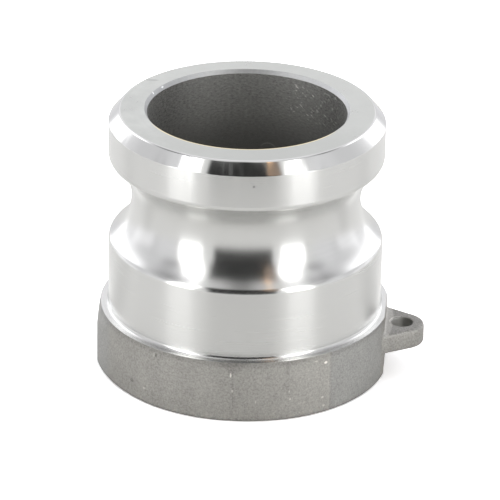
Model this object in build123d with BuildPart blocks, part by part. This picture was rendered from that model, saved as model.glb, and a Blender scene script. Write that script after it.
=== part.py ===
from build123d import *

import os
from math import cos, radians, sin, tan

# Camlock adapter for a 2 inch coupling, with a female parallel pipe thread.
# It stands on its threaded mouth: the origin is on the bore's axis at the mouth, +Z runs up to the
# coupling nose, and +X runs through the ear. All sizes are in millimetres.

# Coupling end, turned on the casting
overall_height = 62.4
coupling_diameter = 63.0
nose_chamfer_width = 2.4
nose_chamfer_height = 2.7
groove_center_height = 41.2
groove_depth = 5.3
groove_floor_radius = 11.6
groove_flank_angle = 45.0
groove_lip_radius = 1.8

# Waterway
neck_wall = 3.45
bore_chamfer_width = 0.6
bore_chamfer_height = 0.9
seat_chamfer = 1.0

# Threaded end: 2 inch parallel pipe thread, 59.614 across its roots, bored here to its crests
barrel_wall = 1.693
thread_pitch = 2.309
thread_depth = 16.4
mouth_chamfer_angle = 45.0
mouth_chamfer_relief = 0.3

# Seal and the seat behind the thread
seal_thickness = 3.2
seal_bore_step = 0.75
seal_side_clearance = 0.4
seal_end_clearance = 0.4

# Cast skirt around the thread: round at the front and back, flat towards the ear and away from it
skirt_height = 15.0
shoulder_step = 1.8
crease_depth = 0.12
round_half_angle = 40.0
plain_flat_step = 0.4
ear_flat_step = 0.5
flat_width = 12.4
shoulder_chamfer = 0.5
corner_turned_step = 0.05
corner_turned_height = 5.2
skirt_foot_chamfer = 0.4

# Ear for a retaining chain, cast on the skirt
ear_hole_distance = 3.8
ear_hole_diameter = 5.0
ear_end_radius = 5.1
ear_root_step = 2.85
ear_root_depth = 1.5
ear_thickness = 4.8
ear_top_height = 10.8
ear_root_fillet = 0.8
ear_rim_chamfer = 0.4

# Heights and radii that follow from the sizes above
coupling_radius = coupling_diameter / 2
neck_radius = coupling_radius - groove_depth
bore_radius = neck_radius - neck_wall
thread_major_radius = coupling_radius - barrel_wall
thread_crest_radius = thread_major_radius - 0.640327 * thread_pitch
seat_height = thread_depth + seal_end_clearance + seal_thickness
skirt_radius = coupling_radius + shoulder_step
plain_flat_distance = skirt_radius + plain_flat_step
ear_flat_distance = skirt_radius - ear_flat_step
ear_hole_reach = ear_flat_distance + ear_hole_distance
ear_bottom_height = ear_top_height - ear_thickness

# The groove's flanks run to an apex inside the wall, which its floor then rounds off
groove_apex_radius = neck_radius + groove_floor_radius * (1 - 1 / sin(radians(groove_flank_angle)))
groove_half_height = (coupling_radius - groove_apex_radius) * tan(radians(groove_flank_angle))


def on_skirt(radius, angle):
    """Point at a radius and an angle from the middle of the front, towards the ear."""
    return (radius * sin(radians(angle)), -radius * cos(radians(angle)))


def is_groove_apex(corner):
    """True for the section's corner between the groove's flanks."""
    return abs(corner.X - groove_apex_radius) < 0.001


def is_groove_lip(corner):
    """True for the section's corners where the cam groove meets the barrel and the nose."""
    from_center = abs(corner.Y - groove_center_height)
    return from_center < groove_half_height + 0.001 and abs(corner.X - coupling_radius) < 0.001


with BuildPart() as ear:
    # Tapered plate with a round end, rooted in the skirt's wall
    root_x = ear_flat_distance - ear_root_depth
    root_half_width = flat_width / 2 + ear_root_step
    with BuildSketch(Plane.XY.offset(ear_bottom_height)):
        with BuildLine():
            Line((root_x, -root_half_width), (root_x, root_half_width))
            CenterArc((ear_hole_reach, 0), ear_end_radius, 0, 360)
        make_hull()
    extrude(amount=ear_thickness)
    plate_rims = ear.faces().filter_by(Axis.Z).edges().sort_by(Axis.X)[2:]
    chamfer(plate_rims, length=ear_rim_chamfer)

with BuildPart() as adapter_body:
    # Skirt: flats, faces and round stretches, with a shallow crease in the middle of the front and back
    across_face = (cos(radians(round_half_angle)), sin(radians(round_half_angle)))
    plain_corner = (-plain_flat_distance, -flat_width / 2)
    ear_corner = (ear_flat_distance, -flat_width / 2)
    plain_face_end = on_skirt(skirt_radius, -round_half_angle)
    ear_face_end = on_skirt(skirt_radius, round_half_angle)
    crease = on_skirt(skirt_radius - crease_depth, 0)
    with BuildSketch(Plane.XY):
        with BuildLine():
            Line((-plain_flat_distance, 0), plain_corner)
            TangentArc(plain_face_end, plain_corner, tangent=(-across_face[0], across_face[1]))
            ThreePointArc(plain_face_end, on_skirt(skirt_radius, -round_half_angle / 2), crease)
            ThreePointArc(crease, on_skirt(skirt_radius, round_half_angle / 2), ear_face_end)
            TangentArc(ear_face_end, ear_corner, tangent=across_face)
            Line(ear_corner, (ear_flat_distance, 0))
            mirror(about=Plane.XZ)
        make_face()
    extrude(amount=skirt_height)
    foot_edges = adapter_body.faces().sort_by(Axis.Z)[0].edges()
    chamfer(foot_edges, length=skirt_foot_chamfer)

    # The skirt's outermost corners are turned down towards the shoulder
    turned_rim = skirt_radius + corner_turned_step
    outermost = Vector(plain_corner).length
    with BuildSketch(Plane.XZ):
        with BuildLine():
            Polyline(
                (turned_rim, skirt_height),
                (outermost, skirt_height),
                (outermost, skirt_height - corner_turned_height),
                close=True,
            )
        make_face()
    revolve(axis=Axis.Z, mode=Mode.SUBTRACT)

    # The ear grows out of the skirt's wall with a cast fillet all round
    add(ear.part)
    fillet(adapter_body.edges(Select.NEW), radius=ear_root_fillet)
    with Locations((ear_hole_reach, 0, ear_top_height)):
        Hole(radius=ear_hole_diameter / 2, depth=ear_thickness)

    # Turned outside: shoulder, barrel, cam groove and nose
    with BuildSketch(Plane.XZ) as turned_section:
        with BuildLine():
            Polyline(
                (0, skirt_height),
                (coupling_radius + shoulder_chamfer, skirt_height),
                (coupling_radius, skirt_height + shoulder_chamfer),
                (coupling_radius, groove_center_height - groove_half_height),
                (groove_apex_radius, groove_center_height),
                (coupling_radius, groove_center_height + groove_half_height),
                (coupling_radius, overall_height - nose_chamfer_height),
                (coupling_radius - nose_chamfer_width, overall_height),
                (0, overall_height),
                close=True,
            )
        make_face()
        fillet(turned_section.vertices().filter_by(is_groove_apex), radius=groove_floor_radius)
        fillet(turned_section.vertices().filter_by(is_groove_lip), radius=groove_lip_radius)
    revolve(axis=Axis.Z)

    # Inside, from the mouth up: thread crests, seal seat, waterway and the nose's inner chamfer
    mouth_radius = thread_major_radius + mouth_chamfer_relief
    mouth_chamfer_height = (mouth_radius - thread_crest_radius) / tan(radians(mouth_chamfer_angle))
    with BuildSketch(Plane.XZ):
        with BuildLine():
            Polyline(
                (0, 0),
                (mouth_radius, 0),
                (thread_crest_radius, mouth_chamfer_height),
                (thread_crest_radius, thread_depth),
                (thread_major_radius, thread_depth),
                (thread_major_radius, seat_height),
                (bore_radius + seat_chamfer, seat_height),
                (bore_radius, seat_height + seat_chamfer),
                (bore_radius, overall_height - bore_chamfer_height),
                (bore_radius + bore_chamfer_width, overall_height),
                (0, overall_height),
                close=True,
            )
        make_face()
    revolve(axis=Axis.Z, mode=Mode.SUBTRACT)

with BuildPart() as thread_seal:
    with BuildSketch(Plane.XY.offset(seat_height - seal_thickness)):
        Circle(thread_major_radius - seal_side_clearance)
        Circle(bore_radius + seal_bore_step, mode=Mode.SUBTRACT)
    extrude(amount=seal_thickness)

os.makedirs("parts", exist_ok=True)

adapter_body.part.label = "adapter_body"
export_step(adapter_body.part, "parts/adapter_body.step")
thread_seal.part.label = "thread_seal"
export_step(thread_seal.part, "parts/thread_seal.step")
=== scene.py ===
from math import asin, atan2, copysign, cos, degrees, hypot, pi, radians, sin, sqrt, tan

import bpy
from mathutils import Matrix, Vector


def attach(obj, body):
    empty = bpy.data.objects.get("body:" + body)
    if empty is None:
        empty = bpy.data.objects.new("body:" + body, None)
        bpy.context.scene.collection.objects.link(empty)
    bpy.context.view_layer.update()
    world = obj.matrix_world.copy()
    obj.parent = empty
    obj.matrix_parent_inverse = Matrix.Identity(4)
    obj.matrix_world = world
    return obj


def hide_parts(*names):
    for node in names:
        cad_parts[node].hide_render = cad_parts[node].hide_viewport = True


# Camlock adapter: a turned coupling end on a cast skirt with one ear, seen standing on its mouth.
# The pieces are drawn in millimetres and scaled to metres when they are finished. The camera, the
# floor and the heights of bumps are in metres.

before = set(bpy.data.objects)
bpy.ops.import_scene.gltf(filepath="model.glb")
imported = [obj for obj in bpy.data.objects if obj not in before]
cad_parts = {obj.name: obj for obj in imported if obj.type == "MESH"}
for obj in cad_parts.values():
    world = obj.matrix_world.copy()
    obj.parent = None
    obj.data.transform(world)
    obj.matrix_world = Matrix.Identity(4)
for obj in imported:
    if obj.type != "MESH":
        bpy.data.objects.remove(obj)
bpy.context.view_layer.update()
MM = 0.001

# Turned section: a chamfer is its width and height, a side of the cam groove is the height of its
# lip and the angle of its flank to the axis
COUPLING_RADIUS = 31.5
OVERALL_HEIGHT = 62.4
NOSE_CHAMFER = (2.4, 2.7)
NOSE_EDGE_RADIUS = 0.2
NOSE_RIM_RADIUS = 0.9
GROOVE_LOW = (31.45, 50.0)
GROOVE_HIGH = (51.38, 46.0)
GROOVE_RADIUS = 11.67
GROOVE_LIP_RADIUS = 1.8
BORE_RADIUS = 22.75
BORE_CHAMFER = (0.6, 0.9)
BORE_RIM_RADIUS = 0.1
BORE_SHIFT = (-0.1, 0.7)
SHOULDER_FILLET = 0.85

# Skirt: flat towards the ear and away from it, with corners that are turned down from the shoulder
SKIRT_HEIGHT = 14.75
SKIRT_RADIUS = 33.3
SKIRT_RIM_RADIUS = 0.15
FOOT_RADIUS = 0.4
CREASE_DEPTH = 0.12
ROUND_HALF_ANGLE = radians(40.0)
PLAIN_FLAT = 33.7
EAR_FLAT = 32.8
FLAT_HALF_WIDTH = 6.2
TURNED_RIM = 33.35
TURNED_SLOPE = 0.92 / 5.2

# Ear
EAR_HOLE_X = 36.6
EAR_HOLE_RADIUS = 2.5
EAR_HOLE_BEVEL = 0.3
EAR_END_RADIUS = 5.1
EAR_ROOT_X = 31.3
EAR_ROOT_HALF_WIDTH = 9.05
EAR_TOP = 10.8
EAR_THICKNESS = 4.8
EAR_RIM_RADIUS = 0.8
EAR_COVE_RADIUS = 0.9

# Threaded socket: a parallel pipe thread with a 55 degree profile, and the recess behind it
THREAD_MAJOR = 29.807
THREAD_PITCH = 2.309
THREAD_DEPTH = 0.640327 * THREAD_PITCH
THREAD_MINOR = THREAD_MAJOR - THREAD_DEPTH
THREAD_CREST_SHARE = 0.16
THREAD_END = 16.4
RUN_OUT_START = THREAD_END - 1.6
RUN_OUT_LENGTH = 1.4
RECESS_START = THREAD_END + 0.2
MOUTH_RADIUS = THREAD_MAJOR + 0.3
SEAT_HEIGHT = 20.0
SEAT_CHAMFER = 1.0

# Seal
SEAL_THICKNESS = 3.2
SEAL_INNER = 23.5
SEAL_OUTER = THREAD_MAJOR - 0.4
SEAL_RIM_RADIUS = 0.35

# Meshes: steps of the spins, degrees between the points of a rounding, and small distances
BODY_STEPS = 400
SEAL_STEPS = 180
ROUNDING_STEP = 4.5
MERGE_DISTANCE = 0.0005
TINY = 0.001
NEAR = 0.01


# Drawing and spinning sections

def arc(center, radius, start, end, steps):
    """Points of an arc from one angle to another, in degrees."""
    points = []
    for i in range(steps + 1):
        angle = radians(start + (end - start) * i / steps)
        points.append((center[0] + radius * cos(angle), center[1] + radius * sin(angle)))
    return points


def run(radius, start, end, steps):
    """Sharp corners (radius, height, 0) evenly up or down an upright wall, both ends included."""
    return [(radius, start + (end - start) * i / steps, 0) for i in range(steps + 1)]


def rounded(corners):
    """Points along a closed run of corners (x, z, radius), each rounded by its own radius."""
    points = []
    for i, (x, z, radius) in enumerate(corners):
        corner = Vector((x, z))
        if not radius:
            points.append((x, z))
            continue
        back = (Vector(corners[i - 1][:2]) - corner).normalized()
        ahead = (Vector(corners[(i + 1) % len(corners)][:2]) - corner).normalized()
        half = back.angle(ahead) / 2
        center = corner + (back + ahead).normalized() * radius / sin(half)
        start = corner + back * radius / tan(half) - center
        turn = copysign(pi - 2 * half, ahead.cross(back))
        steps = max(3, round(degrees(abs(turn)) / ROUNDING_STEP))
        for k in range(steps + 1):
            point = center + Matrix.Rotation(turn * k / steps, 2) @ start
            points.append((point.x, point.y))
    return points


def new_piece(name):
    """A new object in edit mode with one vertex, which is selected and lies at the origin."""
    bpy.ops.object.select_all(action="DESELECT")
    bpy.ops.mesh.primitive_plane_add(size=1.0)
    piece = bpy.context.object
    piece.name = name
    piece.data.name = name
    bpy.ops.object.mode_set(mode="EDIT")
    bpy.ops.mesh.merge(type="CENTER")
    return piece


def trace(points):
    """Extrudes the one selected vertex along the points, which are places in space."""
    bpy.ops.transform.translate(value=points[0])
    last = Vector(points[0])
    for point in points[1:]:
        step = Vector(point) - last
        bpy.ops.mesh.extrude_region_move(TRANSFORM_OT_translate={"value": step})
        last = Vector(point)


def merge_doubles():
    bpy.ops.mesh.select_all(action="SELECT")
    bpy.ops.mesh.remove_doubles(threshold=MERGE_DISTANCE)


def face_outwards():
    """Turns the faces of the piece in edit mode outwards and leaves edit mode."""
    bpy.ops.mesh.select_all(action="SELECT")
    bpy.ops.mesh.normals_make_consistent(inside=False)
    bpy.ops.object.mode_set(mode="OBJECT")


def spin_section(name, section, steps):
    """Spins a closed section of (radius, height) points about Z."""
    piece = new_piece(name)
    trace([(radius, 0.0, height) for radius, height in section + section[:1]])
    merge_doubles()
    bpy.ops.mesh.spin(steps=steps, angle=2 * pi, center=(0, 0, 0), axis=(0, 0, 1))
    merge_doubles()
    face_outwards()
    return piece


def reshape(piece, place):
    """Moves each vertex to the place that a function of its own place gives."""
    for vertex in piece.data.vertices:
        vertex.co = place(vertex.co)
    piece.data.update()


def select_only(piece):
    bpy.ops.object.select_all(action="DESELECT")
    piece.select_set(True)
    bpy.context.view_layer.objects.active = piece


def apply_modifier(piece, kind, **settings):
    select_only(piece)
    modifier = piece.modifiers.new(kind.title(), kind)
    for key, value in settings.items():
        setattr(modifier, key, value)
    bpy.ops.object.modifier_apply(modifier=modifier.name)


def combine(piece, other, operation):
    """Adds another mesh to a piece or cuts it away, and removes the other one."""
    apply_modifier(piece, "BOOLEAN", object=other, operation=operation, solver="EXACT")
    bpy.data.objects.remove(other)


def to_metres(piece):
    """Scales a finished mesh from millimetres and smooths its shallow edges."""
    select_only(piece)
    bpy.ops.object.mode_set(mode="EDIT")
    bpy.ops.mesh.select_all(action="SELECT")
    bpy.ops.transform.resize(value=(MM, MM, MM), center_override=(0, 0, 0))
    bpy.ops.object.mode_set(mode="OBJECT")
    bpy.ops.object.shade_smooth_by_angle(angle=radians(30))


# The adapter's body

def body_section():
    """The wall's closed section, from the foot up the outside and down the inside."""
    low, high = tan(radians(GROOVE_LOW[1])), tan(radians(GROOVE_HIGH[1]))
    groove_depth = (GROOVE_HIGH[0] - GROOVE_LOW[0]) / (1 / low + 1 / high)
    groove_apex = (COUPLING_RADIUS - groove_depth, GROOVE_LOW[0] + groove_depth / low, GROOVE_RADIUS)
    skirt_bottom = FOOT_RADIUS + 0.1
    skirt_top = SKIRT_HEIGHT - SKIRT_RIM_RADIUS - 0.1
    return rounded([
        (MOUTH_RADIUS + NEAR, 0, 0),
        (SKIRT_RADIUS, 0, FOOT_RADIUS),
        *run(SKIRT_RADIUS, skirt_bottom, skirt_top, 24),
        (SKIRT_RADIUS, SKIRT_HEIGHT, SKIRT_RIM_RADIUS),
        (COUPLING_RADIUS, SKIRT_HEIGHT, SHOULDER_FILLET),
        (COUPLING_RADIUS, GROOVE_LOW[0], GROOVE_LIP_RADIUS),
        groove_apex,
        (COUPLING_RADIUS, GROOVE_HIGH[0], GROOVE_LIP_RADIUS),
        (COUPLING_RADIUS, OVERALL_HEIGHT - NOSE_CHAMFER[1], NOSE_EDGE_RADIUS),
        (COUPLING_RADIUS - NOSE_CHAMFER[0], OVERALL_HEIGHT, NOSE_RIM_RADIUS),
        (BORE_RADIUS + BORE_CHAMFER[0], OVERALL_HEIGHT, BORE_RIM_RADIUS),
        *run(BORE_RADIUS, OVERALL_HEIGHT - BORE_CHAMFER[1], SEAT_HEIGHT + SEAT_CHAMFER, 4),
        (BORE_RADIUS + SEAT_CHAMFER, SEAT_HEIGHT, 0),
        (THREAD_MAJOR, SEAT_HEIGHT, 0),
        (THREAD_MAJOR, RECESS_START, 0),
        *run(THREAD_MINOR, THREAD_END, 0.0, 64),
    ])


def tangent_arc_radius(angle, flat):
    """Distance from the axis to the skirt's face, which runs from the round stretch to a flat's corner."""
    start = Vector((SKIRT_RADIUS * sin(ROUND_HALF_ANGLE), SKIRT_RADIUS * cos(ROUND_HALF_ANGLE)))
    corner = Vector((flat, FLAT_HALF_WIDTH))
    inward = -start.normalized()
    chord = corner - start
    radius = chord.length_squared / (2 * chord.dot(inward))
    center = start + radius * inward
    towards = Vector((sin(angle), cos(angle)))
    along = towards.dot(center)
    return along + sqrt(along ** 2 - center.length_squared + radius ** 2)


def outline_radius(x, y):
    """Distance from the axis to the skirt's outline in the direction of a point."""
    angle = asin(min(1.0, abs(x) / hypot(x, y)))
    flat = EAR_FLAT if x > 0 else PLAIN_FLAT
    if angle >= atan2(flat, FLAT_HALF_WIDTH):
        return flat / sin(angle)
    if angle > ROUND_HALF_ANGLE:
        return tangent_arc_radius(angle, flat)
    half = ROUND_HALF_ANGLE / 2
    return SKIRT_RADIUS - CREASE_DEPTH * (angle - half) * (angle - 2 * half) / (2 * half ** 2)


def clamp(value):
    """A value held between 0 and 1."""
    return min(1.0, max(0.0, value))


def thread_radius(turn, height):
    """Radius of the threaded wall at a share of a turn and a height, with its run-out and mouth."""
    phase = (height / THREAD_PITCH - turn) % 1.0
    slope = abs(2 * phase - 1)
    flank = clamp((slope - THREAD_CREST_SHARE) / (1 - 2 * THREAD_CREST_SHARE))
    depth = flank * flank * (3 - 2 * flank)
    wall = THREAD_MINOR + (THREAD_MAJOR - THREAD_MINOR) * depth
    wall += (THREAD_MAJOR - wall) * clamp((height - RUN_OUT_START) / RUN_OUT_LENGTH)
    return max(wall, MOUTH_RADIUS - height)


def body_place(co):
    """Gives the skirt its outline and turned corners, the socket its thread and the bore its shift."""
    radius = hypot(co.x, co.y)
    bore_limit = BORE_RADIUS + BORE_CHAMFER[0] + 1.5 * BORE_RIM_RADIUS
    if co.z < SKIRT_HEIGHT + TINY and radius > COUPLING_RADIUS + SHOULDER_FILLET + NEAR:
        turned_down = TURNED_RIM + (SKIRT_HEIGHT - co.z) * TURNED_SLOPE
        target = min(outline_radius(co.x, co.y), turned_down) + radius - SKIRT_RADIUS
    elif co.z <= THREAD_END and radius < THREAD_MAJOR:
        target = thread_radius(atan2(co.y, co.x) / (2 * pi), co.z)
    elif co.z > SEAT_HEIGHT + SEAT_CHAMFER / 2 and radius < bore_limit:
        return Vector((co.x + BORE_SHIFT[0], co.y + BORE_SHIFT[1], co.z))
    else:
        return co
    return Vector((co.x * target / radius, co.y * target / radius, co.z))


def ear_lean():
    """Angle between the ear's sides and its middle line."""
    reach = hypot(EAR_HOLE_X - EAR_ROOT_X, EAR_ROOT_HALF_WIDTH)
    return atan2(EAR_ROOT_HALF_WIDTH, EAR_HOLE_X - EAR_ROOT_X) - asin(EAR_END_RADIUS / reach)


def make_ear():
    """A tapered plate with a round end and rounded rims, drilled near its end."""
    piece = new_piece("ear_blank")
    lean = degrees(ear_lean())
    outline = [(EAR_ROOT_X, -EAR_ROOT_HALF_WIDTH)]
    outline += arc((EAR_HOLE_X, 0), EAR_END_RADIUS, lean - 90, 90 - lean, 24)
    outline += [(EAR_ROOT_X, EAR_ROOT_HALF_WIDTH)]
    trace([(x, y, EAR_TOP - EAR_THICKNESS) for x, y in outline])
    bpy.ops.mesh.select_all(action="SELECT")
    bpy.ops.mesh.edge_face_add()
    bpy.ops.mesh.extrude_region_move(TRANSFORM_OT_translate={"value": (0, 0, EAR_THICKNESS)})
    face_outwards()
    sharp_edges = {"limit_method": "ANGLE", "angle_limit": radians(50)}
    apply_modifier(piece, "BEVEL", width=EAR_RIM_RADIUS, segments=5, **sharp_edges)
    bpy.ops.mesh.primitive_cylinder_add(
        vertices=48, radius=EAR_HOLE_RADIUS, depth=4 * EAR_THICKNESS, location=(EAR_HOLE_X, 0, EAR_TOP)
    )
    combine(piece, bpy.context.object, "DIFFERENCE")
    apply_modifier(piece, "BEVEL", width=EAR_HOLE_BEVEL, segments=3, **sharp_edges)
    return piece


def wall_at(y):
    """Distance of the skirt's wall on the ear's side, at a distance from the middle line."""
    x = EAR_FLAT
    for _ in range(4):
        x = sqrt(outline_radius(x, y) ** 2 - y * y)
    return x


def make_ear_cove():
    """The cove between the ear and the skirt's wall: a spun drum, each ring of it given its own size."""
    rings = 10
    rim_points = 84
    cap_share = 0.3
    sunk_in_ear = 0.02
    sunk_in_wall = 0.8
    drum = [(cap_share, 0)] + [(1, i) for i in range(rings + 1)] + [(cap_share, rings)]
    piece = spin_section("ear_cove", drum, rim_points)

    def place(co):
        ring = round(co.z)
        swing = radians(90 * max(0, ring - 1) / (rings - 1))
        flare = EAR_COVE_RADIUS * (1 - sin(swing)) - sunk_in_ear
        away = EAR_COVE_RADIUS * (1 - cos(swing)) if ring else -sunk_in_wall
        half_width = EAR_ROOT_HALF_WIDTH - (EAR_FLAT + away - EAR_ROOT_X) * tan(ear_lean()) + flare
        half_height = EAR_THICKNESS / 2 + flare
        corners = [(half_width, -half_height), (half_width, half_height)]
        corners += [(-half_width, half_height), (-half_width, -half_height)]
        points = rounded([(y, z, EAR_RIM_RADIUS + flare) for y, z in corners])
        around_drum = atan2(co.y, co.x) / (2 * pi)
        rim_point = Vector(points[round(around_drum * rim_points) % rim_points])
        y, z = rim_point * hypot(co.x, co.y)
        return Vector((wall_at(y) + away, y, EAR_TOP - EAR_THICKNESS / 2 + z))

    reshape(piece, place)
    bpy.ops.object.mode_set(mode="EDIT")
    face_outwards()
    return piece


def make_body():
    """The whole casting: the spun wall, joined with its ear."""
    piece = spin_section("adapter_casting", body_section(), BODY_STEPS)
    reshape(piece, body_place)
    ear = make_ear()
    combine(ear, make_ear_cove(), "UNION")
    combine(piece, ear, "UNION")
    to_metres(piece)
    return piece


def make_seal():
    """A flat ring with rounded rims."""
    inner, outer = SEAL_INNER + SEAL_RIM_RADIUS, SEAL_OUTER - SEAL_RIM_RADIUS
    low, high = SEAT_HEIGHT - SEAL_THICKNESS + SEAL_RIM_RADIUS, SEAT_HEIGHT - SEAL_RIM_RADIUS
    section = []
    for center, start in (((outer, low), -90), ((outer, high), 0), ((inner, high), 90), ((inner, low), 180)):
        section += arc(center, SEAL_RIM_RADIUS, start, start + 90, 4)
    piece = spin_section("seal_ring", section, SEAL_STEPS)
    to_metres(piece)
    return piece


body = make_body()
seal = make_seal()


# Node maths

class Value:
    """An output of a node, so that sums of values are written as sums."""

    def __init__(self, shop, socket):
        self.shop = shop
        self.socket = socket

    def math(self, operation, *values):
        return self.shop.math(operation, self, *values)

    def __add__(self, other):
        return self.math("ADD", other)

    def __sub__(self, other):
        return self.math("SUBTRACT", other)

    def __rsub__(self, other):
        return self.shop.math("SUBTRACT", other, self)

    def __mul__(self, other):
        return self.math("MULTIPLY", other)

    def __truediv__(self, other):
        return self.math("DIVIDE", other)

    def __pow__(self, other):
        return self.math("POWER", other)

    __radd__ = __add__
    __rmul__ = __mul__

    def in_degrees(self):
        return self * degrees(1)

    def rise(self, start, end):
        """0 below start, 1 above end and smooth between."""
        values = [self, start, end, 0.0, 1.0]
        return self.shop.node("ShaderNodeMapRange", values, interpolation_type="SMOOTHSTEP")

    def between(self, start, end, soft):
        """1 between two values and 0 outside, with soft edges."""
        return self.rise(start - soft, start + soft) * (1 - self.rise(end - soft, end + soft))


class Shop:
    """Adds nodes to a material or a world."""

    def __init__(self, owner):
        owner.use_nodes = True
        self.owner = owner
        self.tree = owner.node_tree
        self.tree.nodes.clear()

    def node(self, kind, inputs=(), output=0, **settings):
        """Adds a node, with its settings first and then the values or links of its sockets."""
        made = self.tree.nodes.new(kind)
        for key, value in settings.items():
            setattr(made, key, value)
        pairs = inputs.items() if isinstance(inputs, dict) else enumerate(inputs)
        for key, value in pairs:
            if isinstance(value, Value):
                self.tree.links.new(value.socket, made.inputs[key])
            else:
                made.inputs[key].default_value = value
        return Value(self, made.outputs[output]) if made.outputs else None

    def math(self, operation, *values):
        return self.node("ShaderNodeMath", values, operation=operation)

    def vector(self, *parts):
        return self.node("ShaderNodeCombineXYZ", parts)

    def split(self, vector):
        """The three parts of a vector."""
        return [self.node("ShaderNodeSeparateXYZ", [vector], output=i) for i in range(3)]

    def scale(self, vector, factor):
        """Scales a vector or a colour."""
        return self.node("ShaderNodeVectorMath", {0: vector, 3: factor}, operation="SCALE")

    def mix_color(self, factor, first, second):
        """Mixes two colours; the node's sockets 6 and 7 are the colours and its output 2 is the colour."""
        return self.node("ShaderNodeMix", {0: factor, 6: first, 7: second}, output=2, data_type="RGBA")

    def noise(self, place, scale, detail, rough=0.5):
        inputs = {"Vector": place, "Scale": scale, "Detail": detail, "Roughness": rough}
        return self.node("ShaderNodeTexNoise", inputs)

    def place(self):
        """Object coordinates in millimetres: the vector, x, y, z and the distance from the axis."""
        at = self.scale(self.node("ShaderNodeTexCoord", output="Object"), 1 / MM)
        x, y, z = self.split(at)
        return at, x, y, z, (x * x + y * y) ** 0.5

    def finish(self, shader, kind="ShaderNodeOutputMaterial"):
        """Ends with a shader, and returns the material or the world."""
        self.node(kind, {"Surface": shader})
        return self.owner

    def principled(self, inputs):
        return self.finish(self.node("ShaderNodeBsdfPrincipled", inputs))


def gray(value):
    return (value, value, value, 1.0)


# Materials

TURNED_COLOR = (0.68, 0.68, 0.667)
FACED_COLOR = (0.605, 0.615, 0.587)
LIP_HIGHLIGHT_COLOR = (0.9, 0.8, 0.52, 1.0)
BORE_EDGE_COLOR = (0.475, 0.48, 0.48)
SKIN_COLOR = (0.425, 0.415, 0.392, 1.0)
COOL_SKIN_COLOR = (0.42, 0.418, 0.405, 1.0)
BORE_COLOR = (0.33, 0.328, 0.315)

# A quarter turn of the stretched highlights, for tool lines that run round the axis
ALONG_LINES = 0.25

# Glints of the bore's chamfer: place and half sizes, both as degrees round the axis and height
EDGE_GLINTS = (
    ((-109, 62.2), (0.7, 0.35)),
    ((-119.5, 62.1), (1.2, 0.2)),
)

# Painted glints and small dark marks of the skirt: place, half sizes and strength, measured in the same way
SKIN_GLINTS_AND_MARKS = (
    ((37.9, 12.5), (0.9, 0.35), 1.3),
    ((33.6, 13.4), (0.9, 0.2), 0.5),
    ((36.7, 3.9), (0.7, 0.3), 0.45),
    ((37.4, 1.7), (0.7, 0.3), 0.45),
    ((-0.9, 11.6), (0.4, 0.7), 0.9),
    ((-0.2, 7.6), (0.35, 0.45), 0.6),
    ((22.3, 7.0), (0.35, 0.3), 0.45),
    ((22.6, 5.1), (0.35, 0.35), 0.45),
    ((9.0, 5.0), (0.3, 0.4), 0.4),
    ((20.2, 8.4), (0.5, 0.9), -0.15),
    ((-38.5, 3.7), (0.7, 0.3), 0.4),
    ((-45.5, 4.2), (0.9, 0.5), -0.3),
    ((-32.4, 13.2), (0.5, 0.5), -0.35),
    ((-33.4, 13.2), (0.4, 0.7), 0.25),
)


def around(x, y):
    """Angle round the axis in degrees: 0 in the middle of the front, rising towards the ear."""
    return x.math("ARCTAN2", 0 - y).in_degrees()


def spot(across, up, center, size):
    """1 inside an oval and 0 outside it."""
    across = (across - center[0]) / size[0]
    up = (up - center[1]) / size[1]
    return 1 - (across * across + up * up).rise(0.4, 1.1)


def turned_aluminium(name, rough, stretch):
    """Metal with fine tool lines round the axis, and one small pit in the nose."""
    shop = Shop(bpy.data.materials.new(name))
    _, x, y, z, radius = shop.place()
    lines = shop.noise(shop.vector(x * 0.05, y * 0.05, z * 3.0 + radius * 3.0), 1.0, 3.0)
    on_wall = radius.rise(COUPLING_RADIUS - 0.3, COUPLING_RADIUS - 0.1)
    pit = spot(around(x, y), z, (7.1, 57.25), (0.6, 0.28)) * on_wall
    return shop.principled({
        "Base Color": shop.scale(TURNED_COLOR, 0.965 + 0.07 * lines - 0.5 * pit),
        "Metallic": 1.0,
        "Roughness": rough + 0.02 * lines,
        "Anisotropic": stretch,
        "Anisotropic Rotation": ALONG_LINES,
    })


def faced_aluminium():
    """The nose's flat ring: faced bright, then smudged by handling, with a painted highlight on the bore's
    lip.
    """
    shop = Shop(bpy.data.materials.new("faced_ring"))
    at, x, y, _, radius = shop.place()
    lines = shop.noise(shop.vector(radius * 4.0, around(x, y) * 0.01, 0.0), 1.0, 3.0)
    smudges = shop.noise(at, 0.22, 3.0, 0.6)
    # Painted light towards the back, fine lines and smudges
    tone = 0.9 + 0.1 * y.rise(2, 24) + 0.05 * (lines - 0.5) + 0.14 * (smudges - 0.5)
    tone = tone - 0.2 * spot(x, y, (-23.2, 14.8), (1.7, 0.6))
    tone = tone + 0.2 * (smudges - 0.5) * (1 - x.rise(-22, -10))
    # Painted warm highlight on the bore's lip, in front
    from_bore = ((x - BORE_SHIFT[0]) ** 2 + (y - BORE_SHIFT[1]) ** 2) ** 0.5
    lip_highlight = (1 - from_bore.rise(23.6, 23.8)) * (1 - y.rise(-15, -9))
    return shop.principled({
        "Base Color": shop.mix_color(lip_highlight, shop.scale(FACED_COLOR, tone), LIP_HIGHLIGHT_COLOR),
        "Metallic": 1.0,
        "Roughness": 0.24 + 0.1 * smudges,
        "Anisotropic": 0.8,
        "Anisotropic Rotation": ALONG_LINES,
    })


def bare_edge():
    """The bore's chamfer, cut dull, with painted light towards the right and painted glints."""
    shop = Shop(bpy.data.materials.new("bore_edge"))
    at, x, y, z, _ = shop.place()
    turn = around(x, y)
    grain = shop.noise(at, 1.5, 3.0)
    # Painted light towards the right
    tone = 0.85 + 0.3 * grain + 0.35 * x.rise(8, 20)
    # Painted glints
    for center, size in EDGE_GLINTS:
        tone = tone + 0.9 * spot(turn, z, center, size)
    return shop.principled({
        "Base Color": shop.scale(BORE_EDGE_COLOR, tone),
        "Metallic": 1.0,
        "Roughness": 0.5 + 0.1 * grain,
    })


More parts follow.
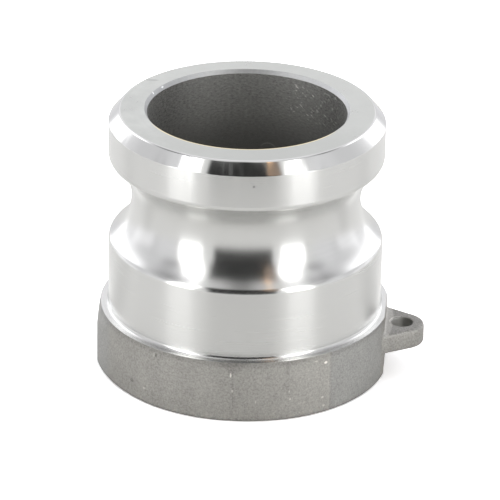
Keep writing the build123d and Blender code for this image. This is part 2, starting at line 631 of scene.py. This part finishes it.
def rough_metal(shop, color, rough, grain):
    """Ends a casting's material, with its grain as bumps."""
    bump = shop.node("ShaderNodeBump", {"Strength": 0.5, "Distance": 0.0001, "Height": grain})
    return shop.principled({
        "Base Color": color,
        "Metallic": 1.0,
        "Roughness": rough + 0.1 * grain,
        "Normal": bump,
    })


def cast_skin():
    """The skirt's and ear's skin, with the marks that the casting kept, and painted light and shade."""
    shop = Shop(bpy.data.materials.new("cast_aluminium_skin"))
    at, x, y, z, radius = shop.place()
    turn = around(x, y)
    on_ear = radius.rise(34.4, 34.8)
    on_skirt = 1 - on_ear
    ear_top = z.rise(EAR_TOP - 0.4, EAR_TOP - 0.1)
    grain = shop.noise(at, 2.3, 5.0, 0.75)
    patches = shop.noise(at, 0.16, 3.0, 0.6)
    glint_specks = shop.noise(at, 2.2, 1.0)
    tone = 1.0 + 1.5 * (grain - 0.5) + 0.25 * (patches - 0.5)

    # Painted shade below the shoulder, at the foot, on the left and on the ear, and painted light on the
    # right
    tone = tone - 0.16 * z.rise(12.9, 14.4) * on_skirt - 0.22 * (1 - z.rise(0.1, 0.9))
    tone = tone - 0.07 * turn.between(-62, -14, 8) + 0.05 * turn.between(24, 40, 2) * on_skirt
    tone = tone - (0.08 + 0.2 * ear_top) * on_ear

    # Painted shade in the crease in the middle of the front, and in a funnel where it meets the shoulder
    funnel_width = (z * 2.0 - 22.3).math("MAXIMUM", 0.4)
    outside_funnel = (turn.math("ABSOLUTE") / funnel_width).rise(0.6, 1.1)
    tone = tone - 0.13 * (1 - outside_funnel) * z.rise(11.3, 12.3)
    tone = tone - 0.13 * turn.between(-0.35, 0.3, 0.25) * z.between(2.0, 11.8, 0.8)

    # Short darker streak on the right, and painted light and shade at the ridge where the round stretch ends
    tone = tone - 0.09 * turn.between(20.9, 21.9, 0.5) * z.between(7.5, 13.0, 1.0)
    tone = tone + 0.1 * turn.between(39.0, 39.7, 0.3) - 0.07 * turn.between(40.1, 41.2, 0.35)

    # Painted glints and small dark marks
    for center, size, strength in SKIN_GLINTS_AND_MARKS:
        tone = tone + strength * spot(turn, z, center, size)
    # Painted glints scattered over the stretch before the ridge
    tone = tone + 0.5 * glint_specks.rise(0.7, 0.78) * turn.between(24, 40, 3)

    # Painted highlight on a burr that the drill left round the back of the ear's hole, on the skirt's side
    from_hole = ((x - EAR_HOLE_X) ** 2 + y * y) ** 0.5
    burr_highlight = from_hole.between(2.75, 2.95, 0.1) * (1 - x.rise(35.8, 36.8)) * y.rise(-0.8, 0)
    tone = tone + 0.5 * burr_highlight * ear_top

    sides = turn.between(40.5, 75, 1) + (1 - turn.rise(-66, -60))
    color = shop.scale(shop.mix_color(sides, SKIN_COLOR, COOL_SKIN_COLOR), tone)
    return rough_metal(shop, color, 0.5, grain)


def bore_skin():
    """The cored bore and the ear's hole, left rough."""
    shop = Shop(bpy.data.materials.new("cast_bore_skin"))
    at, x, y, z, _ = shop.place()
    turn = around(x, y)
    grain = shop.noise(shop.vector(turn * 0.5, z * 2.6, 0.0), 1.0, 5.0, 0.75)
    # Painted light on the back wall near the opening, and a grain that grows stronger towards the opening
    tone = 0.92 + 0.35 * y.rise(12, 21) * z.rise(44, 54) + 2.6 * (grain - 0.5) * z.rise(40, 56)

    # Scratches near the opening, between the ear's side and the back
    across = (turn * 0.15 - z + 1.6 * shop.noise(at, 0.35, 2.0)) * 2.0
    scratches = shop.noise(shop.vector(turn * 0.28, across, 0.0), 1.0, 2.0).rise(0.6, 0.7)
    scratched = turn.between(118, 160, 6) * z.between(52, 61, 2)
    tone = tone + 1.4 * scratches * scratched

    # Painted highlight on the upper rim of a bubble in the back wall
    from_bubble = (((turn - 172) * 0.4) ** 2 + (z - 42.2) ** 2) ** 0.5
    tone = tone + 0.5 * from_bubble.between(1.9, 2.15, 0.12) * z.rise(43, 44)

    # Painted light in the ear's hole, on the skirt's side
    tone = tone + (0.85 - 0.85 * x.rise(35.6, 37.4)) * (1 - z.rise(12, 14))
    return rough_metal(shop, shop.scale(BORE_COLOR, tone), 0.6, grain)


def seal_rubber():
    """Matt black rubber."""
    shop = Shop(bpy.data.materials.new("seal_rubber"))
    at, *_ = shop.place()
    grain = shop.noise(at, 4.0, 3.0)
    bump = shop.node("ShaderNodeBump", {"Strength": 0.3, "Distance": 0.00005, "Height": grain})
    return shop.principled({
        "Base Color": shop.mix_color(grain, gray(0.012), gray(0.025)),
        "Roughness": 0.45 + 0.15 * grain,
        "Normal": bump,
    })


TURNED, CAST, BORE, CURVES, EDGES, FACED, BORE_EDGE = range(7)
for material in (
    turned_aluminium("turned_walls", 0.26, 0.9),
    cast_skin(),
    bore_skin(),
    turned_aluminium("turned_curves", 0.2, 0.9),
    turned_aluminium("turned_edges", 0.08, 0.6),
    faced_aluminium(),
    bare_edge(),
):
    body.data.materials.append(material)
seal.data.materials.append(seal_rubber())

# How far a face leans: 0 on an upright wall, 1 on a level face
LEVEL = 0.98
HALF_LEVEL = 0.5
NOT_UPRIGHT = 0.03

# Nearer to the axis than this, a face below the top belongs to the inside
INSIDE_RADIUS = COUPLING_RADIUS - 6.0


def finish_at(place, slant):
    """Finish of the body's surface at a place in millimetres, by how far the face there leans."""
    radius = hypot(place.x, place.y)
    below_top = place.z < OVERALL_HEIGHT - NEAR
    bore_limit = BORE_RADIUS + BORE_CHAMFER[0] + BORE_SHIFT[1]
    if radius < bore_limit and place.z > SEAT_HEIGHT + SEAT_CHAMFER and slant < LEVEL:
        return BORE if place.z < OVERALL_HEIGHT - BORE_CHAMFER[1] else BORE_EDGE
    if radius < INSIDE_RADIUS and below_top:
        return TURNED
    if slant > LEVEL and not below_top:
        return FACED
    if NEAR < place.z < SKIRT_HEIGHT - NEAR and radius > COUPLING_RADIUS:
        from_hole = hypot(place.x - EAR_HOLE_X, place.y)
        drilled = from_hole < EAR_HOLE_RADIUS + 0.05 and slant < HALF_LEVEL
        return BORE if drilled else CAST
    if GROOVE_LOW[0] < place.z < GROOVE_HIGH[0]:
        return CURVES
    if slant > NOT_UPRIGHT and place.z > SKIRT_HEIGHT + NEAR:
        return EDGES if place.z > OVERALL_HEIGHT - NOSE_CHAMFER[1] - 1 else CURVES
    return TURNED


for face in body.data.polygons:
    face.material_index = finish_at(face.center / MM, abs(face.normal.z))

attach(body, "root")
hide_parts("adapter_body")
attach(seal, "root")
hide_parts("thread_seal")


# Camera

CAMERA_AZIMUTH = radians(4.0)
CAMERA_ELEVATION = radians(25.02)
CAMERA_ROLL = radians(0.929)
CAMERA_DISTANCE = 0.8908
CAMERA_TARGET = (0.001063, 0.0, 0.027252)
FOCAL_PIXELS = 3868.1
FRAME_PIXELS = 500
SENSOR_WIDTH = 36.0


def add_camera():
    """A camera at the photograph's viewing angle, rolled a little about its own axis."""
    turn = Matrix.Rotation(CAMERA_AZIMUTH, 3, "Z")
    back = turn @ Vector((0, -cos(CAMERA_ELEVATION), sin(CAMERA_ELEVATION)))
    right = turn @ Vector((1, 0, 0))
    up = turn @ Vector((0, sin(CAMERA_ELEVATION), cos(CAMERA_ELEVATION)))
    rolled_right = cos(CAMERA_ROLL) * right + sin(CAMERA_ROLL) * up
    rolled_up = cos(CAMERA_ROLL) * up - sin(CAMERA_ROLL) * right
    place = turn @ Vector(CAMERA_TARGET) + CAMERA_DISTANCE * back
    lens = bpy.data.cameras.new("photo_camera")
    lens.sensor_width = SENSOR_WIDTH
    lens.lens = FOCAL_PIXELS / FRAME_PIXELS * SENSOR_WIDTH
    camera = bpy.data.objects.new("photo_camera", lens)
    bpy.context.scene.collection.objects.link(camera)
    camera.matrix_world = Matrix((
        (rolled_right.x, rolled_up.x, back.x, place.x),
        (rolled_right.y, rolled_up.y, back.y, place.y),
        (rolled_right.z, rolled_up.z, back.z, place.z),
        (0, 0, 0, 1),
    ))
    bpy.context.scene.camera = camera


add_camera()


# Floor and studio: angles of the studio are in degrees, and a light of 1 is white

FLOOR_RADIUS = 0.32
FLOOR_DROP = 0.00005
FLOOR_COLOR = 0.7
PANEL_LIGHT = 2.6
GAP_DARKNESS = 0.965
WARM_COLOR = (0.36, 0.27, 0.21, 1.0)
GLOW_COLOR = (2.8, 1.8, 1.1, 1.0)


def side_of_front(x, y):
    """Angle round the axis in degrees: 0 at the studio's front, rising to the right."""
    ahead = x * sin(CAMERA_AZIMUTH) - y * cos(CAMERA_AZIMUTH)
    across = x * cos(CAMERA_AZIMUTH) + y * sin(CAMERA_AZIMUTH)
    return across.math("ARCTAN2", ahead).in_degrees()


def floor_material():
    """A pale floor that is white where it is seen, with painted pools of light and shade where metal mirrors
    it.
    """
    shop = Shop(bpy.data.materials.new("studio_floor"))
    _, x, y, _, radius = shop.place()
    side = side_of_front(x, y)
    sides = side.math("ABSOLUTE")
    seen = shop.node("ShaderNodeLightPath", output="Is Camera Ray")
    mirrored = shop.node("ShaderNodeLightPath", output="Is Glossy Ray")
    # Painted light and shade on the floor, which only the metal's reflections show
    near_foot = 0.25 * (1 - radius.rise(62, 85)) + 0.4 * (1 - radius.rise(48, 58))
    lit = 0.17 + 0.05 * side.between(-60, -50, 9) + 0.05 * side.between(38, 52, 9)
    lit = lit - 0.1 * sides.between(97, 110, 7) + 0.05 * sides.rise(112, 128) - 0.12 * sides.rise(144, 156)
    lit = lit + sides.rise(112, 126) * near_foot
    level = FLOOR_COLOR + seen + lit * mirrored
    color = shop.node("ShaderNodeCombineColor", [level, level, level * (1 - 0.025 * mirrored)])
    return shop.finish(shop.node("ShaderNodeBsdfDiffuse", {"Color": color}))


def add_floor():
    bpy.ops.object.select_all(action="DESELECT")
    bpy.ops.mesh.primitive_circle_add(
        vertices=96, radius=FLOOR_RADIUS, fill_type="NGON", location=(0, 0, -FLOOR_DROP)
    )
    floor = bpy.context.object
    floor.name = "studio_floor"
    floor.data.materials.append(floor_material())


add_floor()


def studio_world():
    """White where it is seen. In the metal, pale walls with two bright panels and a dark gap between them."""
    shop = Shop(bpy.data.worlds.new("studio"))
    x, y, z = shop.split(shop.node("ShaderNodeTexCoord", output="Generated"))
    side = side_of_front(x, y)
    sides = side.math("ABSOLUTE")
    height = z.math("ARCSINE").in_degrees()
    side = side * (1 - 0.2 * height.rise(42, 56))
    low = 1 - height.rise(8, 16)

    # Walls, whose light changes a little round the adapter and near the floor
    light = 0.95 - 0.13 * sides.between(90, 114, 6) + 0.15 * sides.rise(114, 132)
    light = light + 0.38 * sides.between(96, 124, 5) * low
    light = light - 0.22 * sides.rise(148, 156) * low

    # Panels at the left and the right, each with its outer upper corner cut off
    upper = height.between(51, 66, 1.5)
    left = side.between(-64.5, -42, 2.5) - side.between(-76, -54, 2.5) * upper
    right = side.between(35, 57, 2.5) - side.between(51, 66, 2.5) * upper
    light = light + PANEL_LIGHT * left.math("MAXIMUM", 0.0) * (1 - height.rise(55, 60))
    light = light + PANEL_LIGHT * right.math("MAXIMUM", 0.0) * (1 - height.rise(54, 58))

    # Shade beside the panels, halfway up and at their top
    beside = side.between(-88, -58, 8) + side.between(58, 82, 8)
    beside_top = 0.35 * side.between(-80, -57, 5) + 0.3 * side.between(55, 72, 5)
    light = light - 0.6 * beside * height.between(29, 41, 6)
    light = light - beside_top * height.between(52, 65, 2.5)

    # Narrow panels behind, at both sides, and the shade above them
    behind = (sides + 0.7 * height).rise(138, 143) * (1 - sides.rise(144, 152))
    behind = behind - sides.between(136.8, 138.2, 0.5) * (1 - height.rise(20, 30))
    light = light + 1.3 * behind.math("MAXIMUM", 0.0) * (1 - height.rise(38, 45))
    light = light - 0.5 * sides.between(88, 150, 8) * height.between(47, 60, 4)

    # The dark gap in front, which widens upwards, and the dimmer ceiling above it
    spread = side * (1.2 - 0.2 * height.rise(18, 36))
    ceiling = (height + 0.12 * sides).rise(63.5, 66.5)
    gap = spread.rise(-38, -33) * (1 - spread.rise(28.5, 33.5)) * (1 - ceiling)
    light = light * (1 - GAP_DARKNESS * gap)
    light = light * (1 - (0.05 + 0.5 * side.between(-24, 14, 14)) * height.rise(63, 66))

    # A little cooler away from the front, and a warm strip with a glow above it
    cool = light * (1 + 0.03 * sides.rise(58, 75))
    color = shop.node("ShaderNodeCombineColor", [light, light, cool])
    warm = side.between(20, 31, 1.5) * height.between(30, 60, 4)
    color = shop.mix_color(warm, color, WARM_COLOR)
    glow = side.between(22, 28, 1) * height.between(60.5, 67, 1)
    color = shop.mix_color(glow, color, GLOW_COLOR)
    seen = shop.node("ShaderNodeLightPath", output="Is Camera Ray")
    color = shop.mix_color(seen, color, gray(1.0))
    shader = shop.node("ShaderNodeBackground", {"Color": color, "Strength": 1.0})
    return shop.finish(shader, "ShaderNodeOutputWorld")


bpy.context.scene.world = studio_world()
bpy.context.scene.view_settings.view_transform = "Standard"
